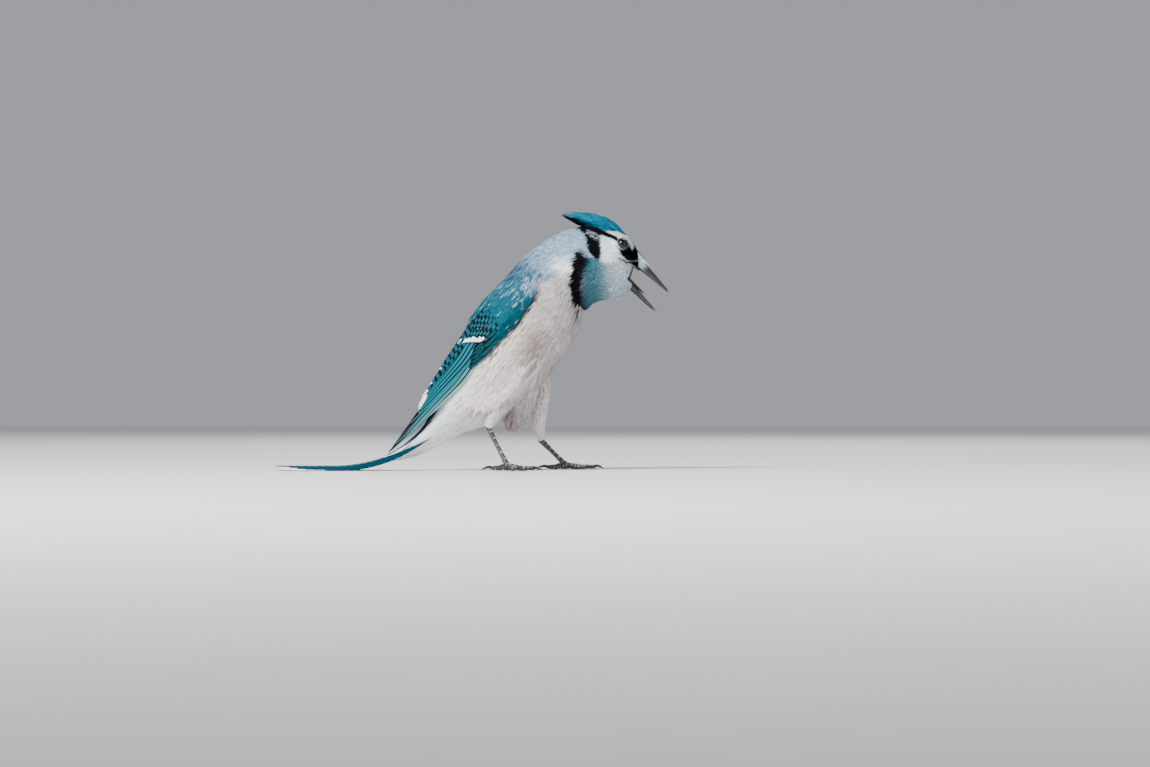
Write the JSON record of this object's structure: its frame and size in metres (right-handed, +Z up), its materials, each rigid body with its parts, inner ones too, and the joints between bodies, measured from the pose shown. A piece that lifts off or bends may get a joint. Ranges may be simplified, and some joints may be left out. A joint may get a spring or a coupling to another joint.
{
  "type": "blue jay",
  "caption": "Life-size still model of a perching songbird, standing with its bill open, crest raised, wings folded and tail laid on the floor.",
  "frame": {"origin": "on the floor, at the middle of the bird's length and width", "axes": "+X towards the bill, +Y towards the bird's left side, +Z up"},
  "size_m": [0.2366, 0.0836, 0.155],
  "materials": {
    "feather_blue": "matt feathers",
    "feather_grey": "matt feathers",
    "neck_grey_blue": "matt feathers",
    "horn": "satin horn",
    "leg_scales": "satin scales",
    "eye": "wet gloss",
    "tongue": "moist"
  },
  "bodies": {
    "root": {"head": "feather_blue", "left_eye": "eye", "left_foot": "leg_scales", "left_hind_claw": "horn", "left_inner_claw": "horn", "left_middle_claw": "horn", "left_outer_claw": "horn", "left_shank": "leg_scales", "left_thigh": "feather_grey", "left_wing": "feather_blue", "lower_bill": "horn", "neck": "neck_grey_blue", "right_eye": "eye", "right_foot": "leg_scales", "right_hind_claw": "horn", "right_inner_claw": "horn", "right_middle_claw": "horn", "right_outer_claw": "horn", "right_shank": "leg_scales", "right_thigh": "feather_grey", "right_wing": "feather_blue", "tail": "feather_blue", "tongue": "tongue", "torso": "feather_grey", "upper_bill": "horn"}
  },
  "joints": []
}
